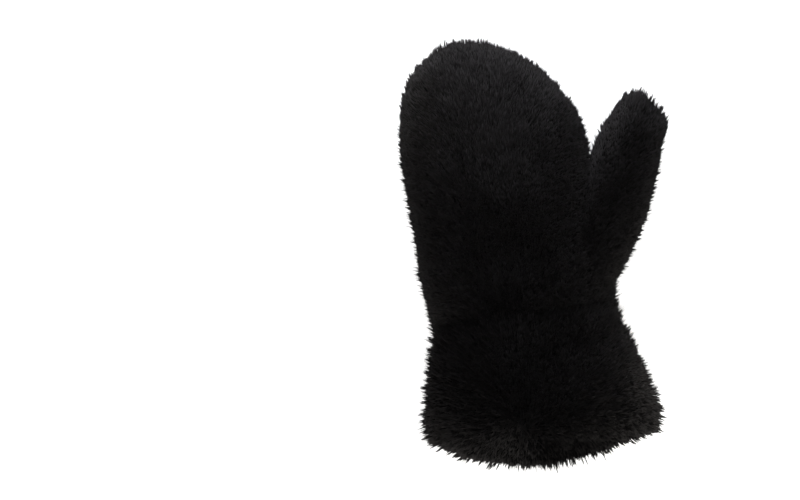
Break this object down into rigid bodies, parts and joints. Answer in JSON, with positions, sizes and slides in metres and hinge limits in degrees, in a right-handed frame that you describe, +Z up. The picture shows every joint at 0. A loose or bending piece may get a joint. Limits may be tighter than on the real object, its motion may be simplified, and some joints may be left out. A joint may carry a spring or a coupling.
{
  "type": "fur mitten",
  "caption": "Deep-pile fur mitten for a right hand, lying palm up: rounded finger end, slanted thumb, pinched wrist and flared open cuff.",
  "frame": {"origin": "on the surface the mitten lies on, under the middle of its box", "axes": "+Y from the cuff to the fingertips, +Z up out of the palm, +X towards the thumb's side"},
  "size_m": [0.1819, 0.2879, 0.0574],
  "materials": {
    "fur": "deep soft near-black pile with a faint gloss along the hairs"
  },
  "bodies": {
    "root": {"palm_panel": "fur", "back_panel": "fur", "thumb": "fur", "cuff": "fur"}
  },
  "joints": []
}
